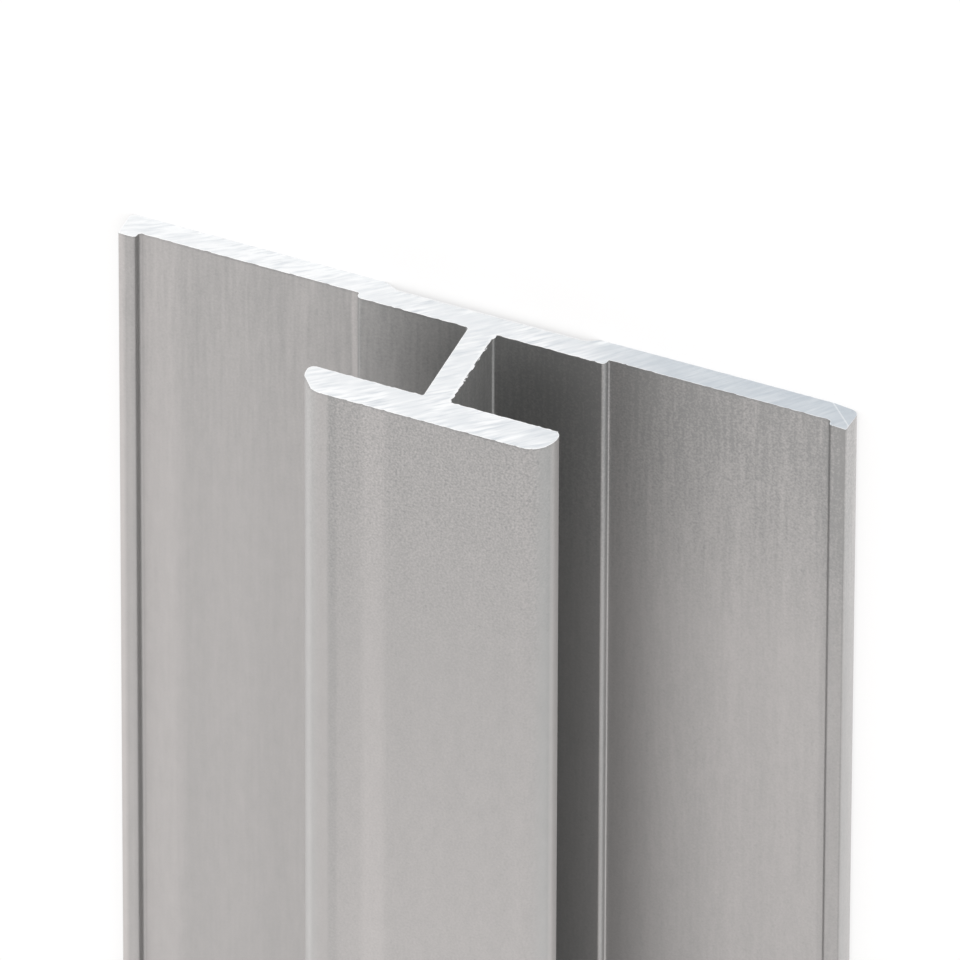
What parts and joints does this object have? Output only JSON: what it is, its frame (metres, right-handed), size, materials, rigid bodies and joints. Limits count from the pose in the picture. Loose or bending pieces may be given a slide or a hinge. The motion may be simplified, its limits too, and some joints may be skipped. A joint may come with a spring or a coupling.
{
  "type": "aluminium extrusion profile",
  "caption": "Straight aluminium H profile with a wide stepped back plate, thin web and narrow rounded front flange, for joining two panels edge to edge.",
  "frame": {"origin": "middle of the bar's length and width, on the plane that the back plate rests on", "axes": "+X along the length, +Y across the back plate, +Z from the back plate towards the front flange"},
  "size_m": [1, 0.045, 0.0106],
  "materials": {
    "mill_aluminium": "satin mill finish as extruded, with fine die lines along the length and bright saw-cut ends"
  },
  "bodies": {
    "root": {"h_profile": "mill_aluminium"}
  },
  "joints": []
}
